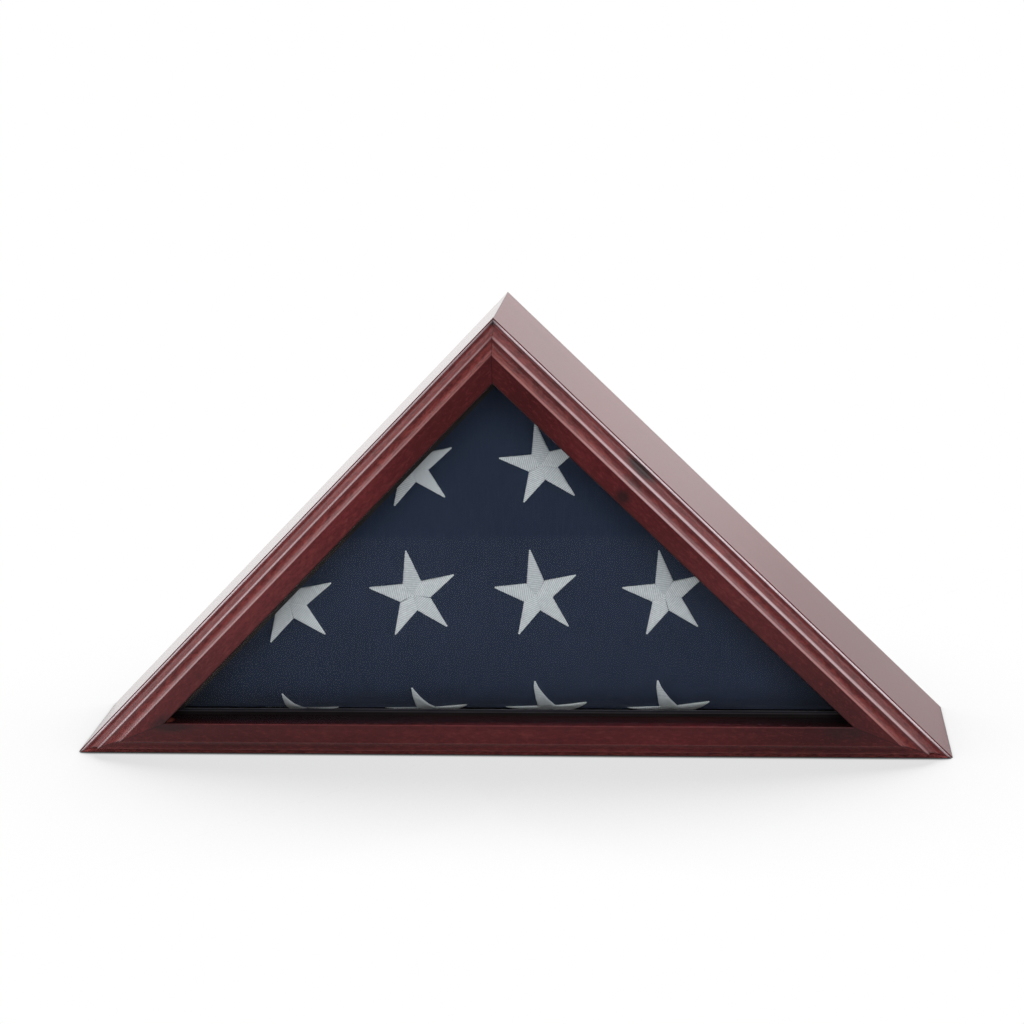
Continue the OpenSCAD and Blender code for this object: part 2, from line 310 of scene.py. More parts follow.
# Finish across a side rail: [mm from its outer edge, worn pale wood with a painted highlight, thinned stain
# with painted light, pooled stain]
RAIL_TONES = [
    (0.0, 0.0, 0.0, 0.8), (0.42, 0.0, 0.0, 0.8), (0.5, 1.0, 0.0, 0.0), (1.35, 1.0, 0.0, 0.0),
    (1.75, 0.05, 0.5, 0.15), (3.2, 0.0, 0.55, 0.0), (4.6, 0.02, 0.8, 0.0), (7.1, 0.04, 0.8, 0.0),
    (7.45, 0.82, 0.3, 0.0), (8.15, 0.82, 0.3, 0.0), (8.55, 0.05, 0.2, 0.1), (10.6, 0.0, 0.55, 0.0),
    (12.4, 0.04, 0.9, 0.0), (14.8, 0.16, 0.9, 0.0), (15.2, 0.66, 0.3, 0.0), (15.9, 0.60, 0.2, 0.0),
    (16.3, 0.0, 0.0, 0.10), (18.5, 0.0, 0.0, 0.0), (28.6, 0.0, 0.0, 0.0), (29.5, 0.0, 0.0, 0.75),
    (30.3, 0.0, 0.0, 0.85),
]
# The same across the bottom rail
BOTTOM_TONES = [
    (0.0, 0.0, 1.0, 0.0), (3.2, 0.02, 1.0, 0.0), (4.8, 0.0, 0.15, 0.0), (7.0, 0.0, 0.15, 0.0),
    (7.6, 0.05, 0.7, 0.0), (8.4, 0.0, 0.2, 0.0), (10.6, 0.0, 0.0, 0.0), (14.6, 0.0, 0.2, 0.0),
    (15.3, 0.04, 0.5, 0.0), (16.6, 0.0, 0.0, 0.0), (24.0, 0.0, 0.0, 0.05), (27.0, 0.0, 0.0, 0.35),
    (29.3, 0.0, 0.0, 0.30), (29.8, 0.03, 0.3, 0.0), (30.3, 0.0, 0.0, 0.0),
]
TONES = {"left": RAIL_TONES, "right": RAIL_TONES, "bottom": BOTTOM_TONES}
# How red the worn wood and its painted highlight are across a rail: [mm from its outer edge, how red]
RED_ACROSS = [(0.0, 0.0), (5.0, 0.0), (6.5, 0.4), (9.5, 0.45), (11.5, 0.95), (18.0, 1.0)]

# The next four tables run along a side, as [share of its length, how much]
# How worn its rail is, which is also how strong its painted highlight is
RUBBED_AND_HIGHLIGHT_ALONG = {
    "left": [(0.0, 0.40), (0.18, 0.62), (0.5, 0.88), (1.0, 1.0)],
    "right": [(0.0, 0.80), (0.5, 1.0), (0.85, 0.95), (1.0, 0.72)],
    "bottom": [(0.0, 1.0), (1.0, 1.0)],
}
# How red the worn wood and its painted highlight are
RED_ALONG = {
    "left": [(0.0, 1.0), (0.15, 0.85), (0.35, 0.45), (1.0, 0.35)],
    "right": [(0.0, 1.0), (0.2, 0.85), (0.4, 0.4), (0.6, 0.35), (0.8, 0.75), (1.0, 1.0)],
    "bottom": [(0.0, 0.5), (1.0, 0.5)],
}
# How dark the stain is
STAIN_ALONG = {
    "left": [(0.0, 0.55), (0.2, 0.55), (0.33, 0.08), (0.6, 0.05), (0.74, 0.35), (1.0, 0.15)],
    "right": [(0.0, 0.45), (0.2, 0.75), (0.45, 0.25), (0.6, 0.5), (0.76, 0.35), (0.88, 0.75), (1.0, 0.45)],
    "bottom": [(0.0, 0.4), (0.2, 0.6), (0.5, 0.2), (0.7, 0.25), (0.86, 0.85), (1.0, 0.6)],
}
# How much the painted shade on the bottom rail's inner wall lifts again to show the wood
WALL_ALONG = [
    (0.0, 0.0), (0.36, 0.0), (0.47, 0.20), (0.60, 0.25), (0.71, 0.50), (0.77, 0.35), (0.85, 0.0), (1.0, 0.0),
]
# How much of the thinned stain and its painted light each rail shows
THIN_AND_LIGHT_SHARE = {"left": 1.0, "right": 0.6, "bottom": 1.0}

# Where the wear and its painted highlight fade on a rail's outer wall, in front of the joint with the board
UNWORN_UNHIGHLIT = (1.1 * MM, 0.6 * MM)
# How far from a mitre the wear and its painted highlight fade
MITRE_WEAR_AND_HIGHLIGHT_REACH = 9 * MM
MITRE_LINE_W = 0.6 * MM
# Where the painted shade on the inner wall deepens, behind the rails' front
WALL_DEPTH = (1.2 * MM, 9.5 * MM)
# Width of the dark joint between each rail and its board, which is also painted shade of the gap there, and
# how softly it ends
JOINT_AND_SHADE_LINE = {"left": 4.0 * MM, "right": 0.3 * MM, "bottom": 0.4 * MM}
JOINT_SOFT = 0.5 * MM

# Dark marks in the rails as [centre, radius, squash, strength]
APEX_SMUDGE = ((0, JOINT_Y - 2 * MM, CASE_H - 1.5 * MM), 6 * MM, (1, 0.6, 1), 0.95)
SMUDGES = {
    "left": [APEX_SMUDGE, ((-0.2545, FRONT_Y, 29 * MM), 9 * MM, (0.6, 1, 1), 0.6)],
    "right": [
        APEX_SMUDGE,
        ((0.0896, FRONT_Y, 0.2018), 7.5 * MM, (0.8, 0.5, 1), 0.75),
        ((0.102, JOINT_Y - 5 * MM, 0.218), 6.5 * MM, (0.28, 0.6, 1), 0.9),
        ((0.0975, JOINT_Y - 12 * MM, 0.2095), 6 * MM, (0.45, 0.6, 1), 0.6),
    ],
    "bottom": [
        ((-0.247, FRONT_Y, 28 * MM), 8 * MM, (0.3, 1, 1), 0.65),
        ((0.246, FRONT_Y, 26 * MM), 9 * MM, (0.4, 1, 1), 0.45),
    ],
}
# A little bare wood on the bottom rail's inner wall, at the left mitre
BARE_SPOT = (-0.2500, JOINT_Y - 12.0 * MM, RAIL_W)
BARE_SPOT_R = 6 * MM


def tint(colour, factor):
    """The colour made lighter or darker by a factor."""
    return tuple(c * factor for c in colour)


class Wood(Shader):
    """Dark cherry-stained wood under clear lacquer, its grain along one side of the case."""

    def __init__(self, name, side, stain, tone, seed):
        super().__init__(name)
        self.side = side
        self.turn = SIDE_TURN[side]
        self.seed = seed
        self.dark, self.middle, self.light = (tint(colour, tone) for colour in stain)
        self.grain = self.figure((2.2, 75, 75), (seed, seed * 0.37, 0), 5, 0.62, 0.25)
        self.streak = self.figure((0.9, 16, 16), (seed * 1.7, 0, seed), 3, 0.5, 0.6)
        self.mottle = self.figure((14, 26, 26), (seed, seed, 0), 3, 0.55)
        self.pores = self.figure((55, 1500, 1500), (0, 0, seed), 2, 0.5)
        self.patches = self.figure((110, 330, 330), (seed, 0, 2 * seed), 3, 0.6, 0.4)
        along, self.depth, self.inwards = self.axes(self.along(side))
        self.share = self.spread(along, 0.0, 1.0, 0.0, SIDE_LENGTH[side])

    def figure(self, scale, offset, detail, rough, distortion=0.0):
        """Noise drawn out along the side."""
        return self.noise(self.place(self.turn, scale, offset), 1.0, detail, rough, distortion)

    def stained(self, along_share):
        """The stained wood before any wear."""
        warm = tuple(c * t for c, t in zip(self.light, WARMER))
        colour = self.ramp(self.grain, [(0.25, self.dark), (0.5, self.middle), (0.78, self.light)])
        colour = self.mix(self.spread(self.streak, 0.0, 0.5, 0.35, 0.75), colour, self.dark)
        colour = self.mix(self.spread(self.mottle, 0.0, 0.30, 0.4, 0.75), colour, self.light)
        colour = self.mix(self.spread(self.patches, 0.0, 0.55, 0.52, 0.80), colour, warm)
        colour = self.mix(self.spread(self.patches, 0.5, 0.0, 0.22, 0.48), colour, self.dark)
        colour = self.mix(self.spread(self.pores, 0.0, 0.4, 0.62, 0.78), colour, tint(self.dark, 0.4))
        along = self.levels(self.share, STAIN_ALONG[self.side])
        return self.mix(self.product(along, along_share), colour, tint(self.middle, 0.22))

    def finish(self, colour, mitre_strength, coat_roughness, coat_ior):
        """Joins the colour, with the dark lines of the mitres, and the lacquer over it."""
        line = self.product(self.mitre_line(self.side, MITRE_LINE_W), mitre_strength)
        self.drive("Base Color", self.mix(line, colour, MITRE_DARK))
        self.drive("Roughness", self.spread(self.streak, 0.26, 0.36))
        fine = self.bump(self.pores, 0.02 * MM, 0.5)
        self.drive("Normal", self.bump(self.grain, 0.05 * MM, 0.35, fine))
        self.set(IOR=1.06, Coat_Weight=1.0, Coat_Roughness=coat_roughness, Coat_IOR=coat_ior)
        return self.mat


class RailWood(Wood):
    """The same wood on a moulded front rail, where the finish is worn pale with a painted highlight, thinned
    with painted light, and pooled.
    """

    def __init__(self, side):
        super().__init__(f"cherry_rail_{side}", side, RAIL_STAIN, RAIL_TONE, RAIL_SEED[side])
        self.across = self.spread(self.inwards, 0.0, 1.0, 0.0, ACROSS * MM)
        self.rubbed, self.thin, self.pooled = (self.tone_across(column) for column in (1, 2, 3))
        self.flecks = self.figure((230, 620, 620), (self.seed, 0, self.seed), 2, 0.6, 0.5)

    def tone_across(self, column):
        return self.levels(self.across, [(row[0] / ACROSS, row[column]) for row in TONES[self.side]])

    def thinned(self, colour):
        """Flecks all over, redder where the stain is thinned, which also paints the light caught there, and
        darker where it has pooled.
        """
        colour = self.mix(self.spread(self.flecks, 0.62, 0.0, 0.30, 0.50), colour, self.dark)
        colour = self.mix(self.spread(self.flecks, 0.0, 0.35, 0.52, 0.72), colour, self.light)
        coarse = self.spread(self.patches, 0.35, 1.0, 0.3, 0.65)
        fine = self.spread(self.flecks, 0.35, 1.0, 0.32, 0.56)
        thin = self.product(self.thin, self.product(coarse, fine), THIN_AND_LIGHT_SHARE[self.side])
        return self.mix(self.pooled, self.mix(thin, colour, THIN_STAIN_AND_LIGHT), tint(self.dark, 0.5))

    def smudged(self, colour):
        """Dark marks where the stain has gathered."""
        for place, radius, squash, strength in SMUDGES[self.side]:
            mark = self.spot(place, radius, self.turn, squash)
            patch = self.product(mark, self.spread(self.mottle, 0.8, 1.0, 0.3, 0.6))
            colour = self.mix(self.spread(patch, 0.0, strength, 0.0, 0.5), colour, SMUDGE)
        return colour

    def worn(self, colour):
        """The arrises worn down to paler wood, which also carries a painted highlight, less so at the mitres
        and not on the outer wall.
        """
        red = self.product(self.levels(self.share, RED_ALONG[self.side]),
            self.levels(self.across, [(at / ACROSS, level) for at, level in RED_ACROSS]))
        # Worn wood and its painted highlight, between pale and red across and along the rail
        bare = self.mix(red, RUBBED_PALE_AND_HIGHLIGHT, RUBBED_RED_AND_HIGHLIGHT)
        evenness = self.spread(self.mottle, 0.75, 1.0, 0.3, 0.65)
        face = self.spread(self.depth, 1.0, 0.15, JOINT_Y - UNWORN_UNHIGHLIT[0], JOINT_Y - UNWORN_UNHIGHLIT[1])
        off_mitre = self.spread(self.mitre_line(self.side, MITRE_WEAR_AND_HIGHLIGHT_REACH), 1.0, 0.35)
        length_share = self.product(self.levels(self.share, RUBBED_AND_HIGHLIGHT_ALONG[self.side]), off_mitre)
        return self.mix(self.product(self.rubbed, evenness, face, length_share), colour, bare)

    def walled(self, colour):
        """Painted shade on the inner wall, darker towards the glass."""
        deep = self.spread(self.depth, 0.0, 1.0, FRONT_Y + WALL_DEPTH[0], FRONT_Y + WALL_DEPTH[1])
        on_wall = self.spread(self.inwards, 0.0, 1.0, RAIL_W - 0.25 * MM, RAIL_W - 0.1 * MM)
        shade = self.spread(deep, 0.50, 0.97)
        if self.side == "bottom":
            still_seen = self.product(self.levels(self.share, WALL_ALONG), self.spread(deep, 1.0, 0.5))
            shade = self.maths("SUBTRACT", shade, still_seen)
        return self.mix(self.product(shade, on_wall), colour, WALL_SHADE)


def rail_wood(side):
    """A rail's wood; the bottom one is duller on its worn edges, where the painted highlight lies, and has a
    bare spot.
    """
    s = RailWood(side)
    colour = s.walled(s.worn(s.smudged(s.thinned(s.stained(1.0)))))
    if side == "bottom":
        s.drive("Coat Weight", s.spread(s.rubbed, 1.0, 0.3, 0.0, 0.03))
        spot = s.spot(BARE_SPOT, BARE_SPOT_R, 0.0, (1, 0.8, 1))
        bare = s.product(spot, s.spread(s.flecks, 0.5, 1.0, 0.3, 0.5))
        colour = s.mix(s.spread(bare, 0.0, 1.0, 0.05, 0.5), colour, BARE_WOOD)
    return s.finish(colour, 0.65, 0.24, 1.30)


def board_wood(side):
    """A board: a matt dark line along its joint with the rail, partly painted shade of the gap, and blackened
    inside.
    """
    s = Wood(f"cherry_board_{side}", side, BOARD_STAIN, BOARD_TONE, BOARD_SEED[side])
    behind = s.maths("SUBTRACT", s.depth, JOINT_Y)
    joint = s.spread(behind, 1.0, 0.0, JOINT_AND_SHADE_LINE[side], JOINT_AND_SHADE_LINE[side] + JOINT_SOFT)
    colour = s.mix(joint, s.stained(0.35), tint(s.dark, 0.7))
    s.drive("Coat Weight", s.spread(joint, 1.0, 0.0))
    s.drive("Specular IOR Level", s.spread(joint, 0.5, 0.0))
    inside = s.spread(s.inwards, 0.0, 0.92, BOARD_T - 0.4 * MM, BOARD_T - 0.2 * MM)
    colour = s.mix(inside, colour, BLACK_INSIDE)
    if side == "right":
        return s.finish(colour, 0.8, 0.14, 1.33)
    return s.finish(colour, 0.8, 0.10, 1.42)


# ---------------------------------------------------------------- other materials
# Heights on the bottom glass stop, under its top, of its painted highlights: a pale line, and a paler arris
STRIP_HIGHLIGHT_LINE = STOP_TOP - 1.9 * MM
STRIP_ARRIS_HIGHLIGHT = STOP_TOP - 0.3 * MM
WEAVE_SCALE = 620


def black_strip(side):
    """Black-stained wood of a glass stop, satin; the bottom one has painted light on its upper part and
    painted highlights near its top.
    """
    s = Shader(f"black_strip_{side}")
    grain = s.noise(s.place(0, (30, 600, 600)), 1.0, 3, 0.6)
    colour = s.ramp(grain, [(0.3, (0.0140, 0.0100, 0.0105)), (0.7, (0.0200, 0.0140, 0.0145))])
    if side == "bottom":
        height = s.axes(s.along(side))[2]
        upper = s.spread(height, 0.0, 1.0, STRIP_HIGHLIGHT_LINE - 0.4 * MM, STRIP_HIGHLIGHT_LINE)
        off_line = s.maths("ABSOLUTE", s.maths("SUBTRACT", height, STRIP_HIGHLIGHT_LINE))
        line = s.spread(off_line, 1.0, 0.0, 0.25 * MM, 0.65 * MM)
        arris_highlight = s.spread(height, 0.0, 1.0, STRIP_ARRIS_HIGHLIGHT, STRIP_ARRIS_HIGHLIGHT + 0.2 * MM)
        # Painted light on the upper part, then a painted highlight line and a paler painted highlight at the
        # top edge
        colour = s.mix(upper, colour, (0.038, 0.036, 0.047))
        colour = s.mix(line, colour, (0.100, 0.088, 0.100))
        colour = s.mix(arris_highlight, colour, (0.110, 0.108, 0.130))
    s.drive("Base Color", colour)
    s.drive("Roughness", s.spread(grain, 0.42, 0.55))
    s.drive("Normal", s.bump(grain, 0.03 * MM, 0.5))
    s.set(IOR=1.35)
    return s.mat


def clear_glass():
    """Low-reflection display glass, which lets lamps through."""
    s = Shader("display_glass")
    haze = s.noise(s.place(0, (6, 6, 6)), 1.0, 3, 0.5)
    s.drive("Base Color", s.ramp(haze, [(0.3, (0.965, 0.982, 0.976)), (0.7, (0.975, 0.988, 0.984))]))
    s.set(Roughness=0.0, IOR=1.12, Transmission_Weight=1.0)
    path = s.add("ShaderNodeLightPath")
    clear = s.add("ShaderNodeBsdfTransparent")
    clear.inputs["Color"].default_value = (0.95, 0.965, 0.96, 1)
    s.blend(path.outputs["Is Shadow Ray"], clear)
    return s.mat


def navy_cloth():
    """Navy flag cloth: plain weave, faint creases, a soft sheen."""
    s = Shader("navy_cloth")
    weave = s.product(s.wave(s.place(), WEAVE_SCALE, "X", 0.6), s.wave(s.place(), WEAVE_SCALE, "Z", 0.6))
    cloudy = s.noise(s.place(), 9, 4, 0.6)
    thread = s.noise(s.place(0, (900, 200, 60)), 1.0, 2, 0.5)
    colour = s.ramp(cloudy, [(0.3, (0.0150, 0.0262, 0.0560)), (0.7, (0.0210, 0.0340, 0.0720))])
    colour = s.mix(s.spread(thread, 0.0, 0.35, 0.45, 0.75), colour, (0.036, 0.048, 0.085))
    colour = s.mix(s.spread(weave, 0.35, 0.0), colour, (0.011, 0.016, 0.032))
    s.drive("Base Color", colour)
    fine = s.bump(weave, 0.06 * MM, 0.6)
    s.drive("Normal", s.bump(cloudy, 0.6 * MM, 0.5, fine))
    s.set(Roughness=0.85, IOR=1.35, Sheen_Weight=0.25, Sheen_Roughness=0.4, Sheen_Tint=(0.35, 0.45, 0.75, 1))
    return s.mat


def star_thread():
    """White satin-stitched embroidery thread, with painted shade between its ridges and a painted sheen that
    differs from arm to arm.
    """
    s = Shader("star_thread")
    ridge = s.add("ShaderNodeAttribute", attribute_name="ridge").outputs["Fac"]
    painted_sheen = s.add("ShaderNodeAttribute", attribute_name="painted_sheen").outputs["Fac"]
    strands = s.noise(s.place(0, (500, 500, 500)), 1.0, 3, 0.6)
    worn = s.noise(s.place(0, (60, 60, 60)), 1.0, 3, 0.5)
    white = [(0.25, (0.70, 0.73, 0.76)), (0.6, (0.89, 0.92, 0.94)), (0.85, (0.95, 0.96, 0.97))]
    colour = s.ramp(strands, white)
    colour = s.mix(s.spread(worn, 0.0, 0.3, 0.45, 0.8), colour, (0.62, 0.66, 0.71))
    # Painted sheen: arms whose stitches catch less light are darker
    colour = s.mix(s.spread(painted_sheen, 0.6, 0.0, 0.0, 1.0), colour, (0.36, 0.40, 0.46))
    # Painted shade in the valleys between the stitches
    colour = s.mix(s.spread(ridge, 0.62, 0.0, 0.1, 0.75), colour, (0.27, 0.30, 0.36))
    s.drive("Base Color", colour)
    s.drive("Normal", s.bump(strands, 0.08 * MM, 0.6))
    s.set(Roughness=0.48, IOR=1.45, Sheen_Weight=0.2)
    return s.mat


def metal(name, colour, roughness, brushed=(900, 60, 60)):
    """Plated steel with fine working marks."""
    s = Shader(name)
    marks = s.noise(s.place(0, brushed), 1.0, 3, 0.6)
    blotch = s.noise(s.place(0, (90, 90, 90)), 1.0, 3, 0.5)
    s.drive("Base Color", s.mix(s.spread(blotch, 0.0, 0.6, 0.4, 0.8), colour, tint(colour, 0.72)))
    s.drive("Roughness", s.spread(marks, roughness, roughness + 0.18))
    s.drive("Normal", s.bump(marks, 0.02 * MM, 0.6))
    s.set(Metallic=1.0)
    return s.mat


def hardboard():
    """Dark brown hardboard back with its fine pressed texture and a few fibres."""
    s = Shader("hardboard")
    fibre = s.noise(s.place(0, (420, 420, 120)), 1.0, 4, 0.65, 1.2)
    cloudy = s.noise(s.place(0, (12, 12, 12)), 1.0, 4, 0.6)
    brown = [(0.3, (0.034, 0.021, 0.013)), (0.6, (0.060, 0.038, 0.024)), (0.85, (0.110, 0.074, 0.048))]
    patchy = s.spread(cloudy, 0.0, 0.35, 0.4, 0.75)
    s.drive("Base Color", s.mix(patchy, s.ramp(fibre, brown), (0.026, 0.017, 0.012)))
    s.drive("Roughness", s.spread(fibre, 0.45, 0.65))
    s.drive("Normal", s.bump(fibre, 0.08 * MM, 0.6))
    return s.mat


def felt():
    """Black napped felt."""
    s = Shader("black_felt")
    nap = s.noise(s.place(0, (700, 700, 700)), 1.0, 4, 0.7, 0.8)
    s.drive("Base Color", s.ramp(nap, [(0.3, (0.004, 0.004, 0.005)), (0.75, (0.016, 0.016, 0.019))]))
    s.drive("Normal", s.bump(nap, 0.25 * MM, 0.8))
    s.set(Roughness=0.95, Sheen_Weight=0.5, Sheen_Roughness=0.5, Specular_IOR_Level=0.1)
    return s.mat


def beech():
    """Bare compressed beech of the biscuits."""
    s = Shader("beech")
    fleck = s.noise(s.place(0, (120, 900, 900)), 1.0, 3, 0.6)
    s.drive("Base Color", s.ramp(fleck, [(0.3, (0.42, 0.28, 0.16)), (0.7, (0.58, 0.42, 0.26))]))
    s.drive("Normal", s.bump(fleck, 0.05 * MM, 0.5))
    s.set(Roughness=0.7)
    return s.mat


WELD_WITHIN = 0.002 * MM
SMOOTH_TO = math.radians(30)


def dress(node, mat):
    """Gives a CAD node a material, and shades its round faces smooth and its flat ones even."""
    obj = nodes[node]
    obj.data.materials.clear()
    obj.data.materials.append(mat)
    if "custom_normal" in obj.data.attributes:
        obj.data.attributes.remove(obj.data.attributes["custom_normal"])
    obj.data.polygons.foreach_set("use_smooth", [True] * len(obj.data.polygons))
    weld = obj.modifiers.new("weld", "WELD")
    weld.merge_threshold = WELD_WITHIN
    split = obj.modifiers.new("split", "EDGE_SPLIT")
    split.split_angle = SMOOTH_TO
    split.use_edge_sharp = False
    even = obj.modifiers.new("even", "WEIGHTED_NORMAL")
    even.weight = 100
    even.keep_sharp = True


def dress_case():
    for side in SIDES:
        dress("bottom_board" if side == "bottom" else f"{side}_side_board", board_wood(side))
        dress(f"{side}_front_rail", rail_wood(side))
        dress(f"{side}_glass_stop", black_strip(side))
    dress("glass_pane", clear_glass())
    dress("corner_biscuits", beech())
    steel = metal("bright_steel", (0.60, 0.61, 0.63), 0.25)
    dress("frame_v_nails", steel)
    dress("stop_brads", steel)
    dress("turn_button_screws", metal("zinc_screw", (0.58, 0.59, 0.61), 0.28, (500, 500, 500)))
    nickel = metal("nickel_button", (0.62, 0.60, 0.56), 0.22)
    for node in nodes:
        if node.startswith("turn_button_") and node != "turn_button_screws":
            dress(node, nickel)
    dress("back_panel", hardboard())
    dress("back_lining", felt())


# ---------------------------------------------------------------- folded flag
VOXEL = 4 * MM
FOLD_R = 25 * MM
FOLD_TOP = FLAG_LOW.z + FOLD_R
# How far the rounded lower fold carries a star sideways, as a share of the way round it
FOLD_DRIFT = 0.20
# Slow waves on the flag's faces as [seed, length, height], and how far the faces sink to make room for them
FLAG_WAVES = [(1, 0.21, 0.5 * MM), (2, 0.13, 0.35 * MM), (3, 0.083, 0.2 * MM), (4, 0.05, 0.1 * MM)]
FLAG_SINK = 0.95 * MM
GOLDEN_ANGLE = 2.399
# The edges of the folded layers, on the flag's sides
LAYER_PITCH = 5.5 * MM
LAYER_HEIGHT = 0.3 * MM
LAYER_SINK = 0.5 * MM

STAR_R = 34.9 * MM
STAR_INNER_R = 12.2 * MM
STAR_TILT = math.radians(8.6)
ARM_TURN = math.radians(72)
# Where a star's arms meet, from its centre
STAR_HUB = (-1.4 * MM, -0.3 * MM)
STAR_RISE = 1.25 * MM
STAR_SINK = 0.15 * MM
TIP_HALF_W = 0.35 * MM
THREAD_PITCH = 1.35 * MM
CELLS_ACROSS = 10
# Width from which an arm is full height, and the reach of its lower tip
FULL_W = 9 * MM
TIP_REACH = 1.6 * MM
# How far from the ideal cloth its real surface is looked for
SEARCH = 8 * MM
# Painted sheen of the thread on each arm, which follows the way its stitches lie: up, then round by the left
ARM_PAINTED_SHEEN = (0.55, 0.85, 1.0, 0.85, 1.0)
# Stars as [x mm, z mm on the flat cloth, width, height], where the cloth draws a few of them in
FRONT_STARS = [
    (-66.0, 210.8, 0.93, 0.93), (28.9, 211.9, 0.92, 0.92),
    (-163.0, 107.0, 1.03, 1.0), (-69.2, 113, 0.975, 1.0), (22.5, 113, 0.925, 0.99), (117.3, 113, 0.935, 0.99),
    (-169.6, -0.6, 1.0, 1.0), (-69.3, 5.2, 1.0, 1.0), (23.7, 11.0, 0.97, 1.0), (115.2, 11.9, 0.97, 1.0),
]
BACK_STARS = [
    (-30, 208, 1, 1), (62, 206, 1, 1),
    (-118, 108, 1, 1), (-24, 111, 1, 1), (69, 110, 1, 1), (160, 107, 1, 1),
]


def grid_waves(points):
    """A smooth height at each point, as a sum of slow waves in set directions."""
    total = np.zeros(len(points))
    for seed, length, height in FLAG_WAVES:
        turn = seed * GOLDEN_ANGLE
        along = points[:, 0] * math.cos(turn) + points[:, 2] * math.sin(turn)
        across = points[:, 2] * math.cos(turn) - points[:, 0] * math.sin(turn)
        bend = 0.35 * length * np.sin(across * 2 * math.pi / (2.7 * length) + seed)
        total += height * np.sin((along + bend) * 2 * math.pi / length + seed * 1.7)
    return total


def vertex_rows(mesh, name):
    """A vector of each vertex, its place or normal, as rows of an array."""
    rows = np.zeros(len(mesh.vertices) * 3)
    mesh.vertices.foreach_get(name, rows)
    return rows.reshape(-1, 3)


def slacken(mesh):
    """Waves the flag's faces and ribs its sides with the edges of its layers, inside its box."""
    points, normals = vertex_rows(mesh, "co"), vertex_rows(mesh, "normal")
    low, high = np.array(FLAG_LOW), np.array(FLAG_HIGH)
    facing = np.abs(normals[:, 1]) ** 2
    layer = np.sin((points[:, 1] - low[1]) * 2 * math.pi / LAYER_PITCH)
    push = (grid_waves(points) - FLAG_SINK) * facing + (1 - facing) * (LAYER_HEIGHT * layer - LAYER_SINK)
    points = np.clip(points + normals * push[:, None], low, high)
    mesh.vertices.foreach_set("co", points.ravel())


def make_flag():
    """The folded flag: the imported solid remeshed, slackened and waved like folded cloth."""
    flag = bpy.data.objects.new("flag_cloth", nodes["folded_flag"].data.copy())
    bpy.context.scene.collection.objects.link(flag)
    flag.data.materials.clear()
    remesh = flag.modifiers.new("remesh", "REMESH")
    remesh.mode = "VOXEL"
    remesh.voxel_size = VOXEL
    mesh = bpy.data.meshes.new_from_object(flag.evaluated_get(bpy.context.evaluated_depsgraph_get()))
    flag.modifiers.clear()
    flag.data = mesh
    slacken(mesh)
    mesh.polygons.foreach_set("use_smooth", [True] * len(mesh.polygons))
    mesh.update()
    mesh.materials.append(navy_cloth())
    subdivision = flag.modifiers.new("subdivision", "SUBSURF")
    subdivision.levels = subdivision.render_levels = 1
    return flag


def cloth_point(x, z, front):
    """Where a point of the flat pattern lies on the ideal folded flag, and the way out of the cloth."""
    y = FLAG_LOW.y if front else FLAG_HIGH.y
    out = -1.0 if front else 1.0
    if z >= FOLD_TOP:
        return Vector((x, y, z)), Vector((0, out, 0))
    arc = FOLD_TOP - z
    turn = arc / FOLD_R
    y -= out * FOLD_R * (1 - math.cos(turn))
    place = Vector((x + FOLD_DRIFT * arc, y, FOLD_TOP - FOLD_R * math.sin(turn)))
    return place, Vector((0, out * math.cos(turn), -math.sin(turn)))


def edge_at(along, corners):
    """Distance of an arm's edge from the arm's axis, where the edge runs through the corners."""
    for (s0, b0), (s1, b1) in zip(corners, corners[1:]):
        if along <= s1:
            return b0 + (b1 - b0) * (along - s0) / max(s1 - s0, 1e-9)
    return corners[-1][1]


def arm_edges(hub, inner, tip, axis, side):
    """Both edges of an arm as corners [along its axis, beside it]: hub, inner corner and tip."""
    edges = []
    for corner, way in zip(inner, (1, -1)):
        reach = corner - hub
        edges.append([(0, 0), (reach.dot(axis), reach.dot(side)), ((tip - hub).length, way * TIP_HALF_W)])
    return edges


def dome_at(share, rim):
    """Height of the thread across an arm, where share runs from 0 to 1 between its rims."""
    if not 0 < share < 1:
        return rim
    return rim + (1 - rim) * (1 - abs(2 * share - 1) ** 3.5) ** 0.8


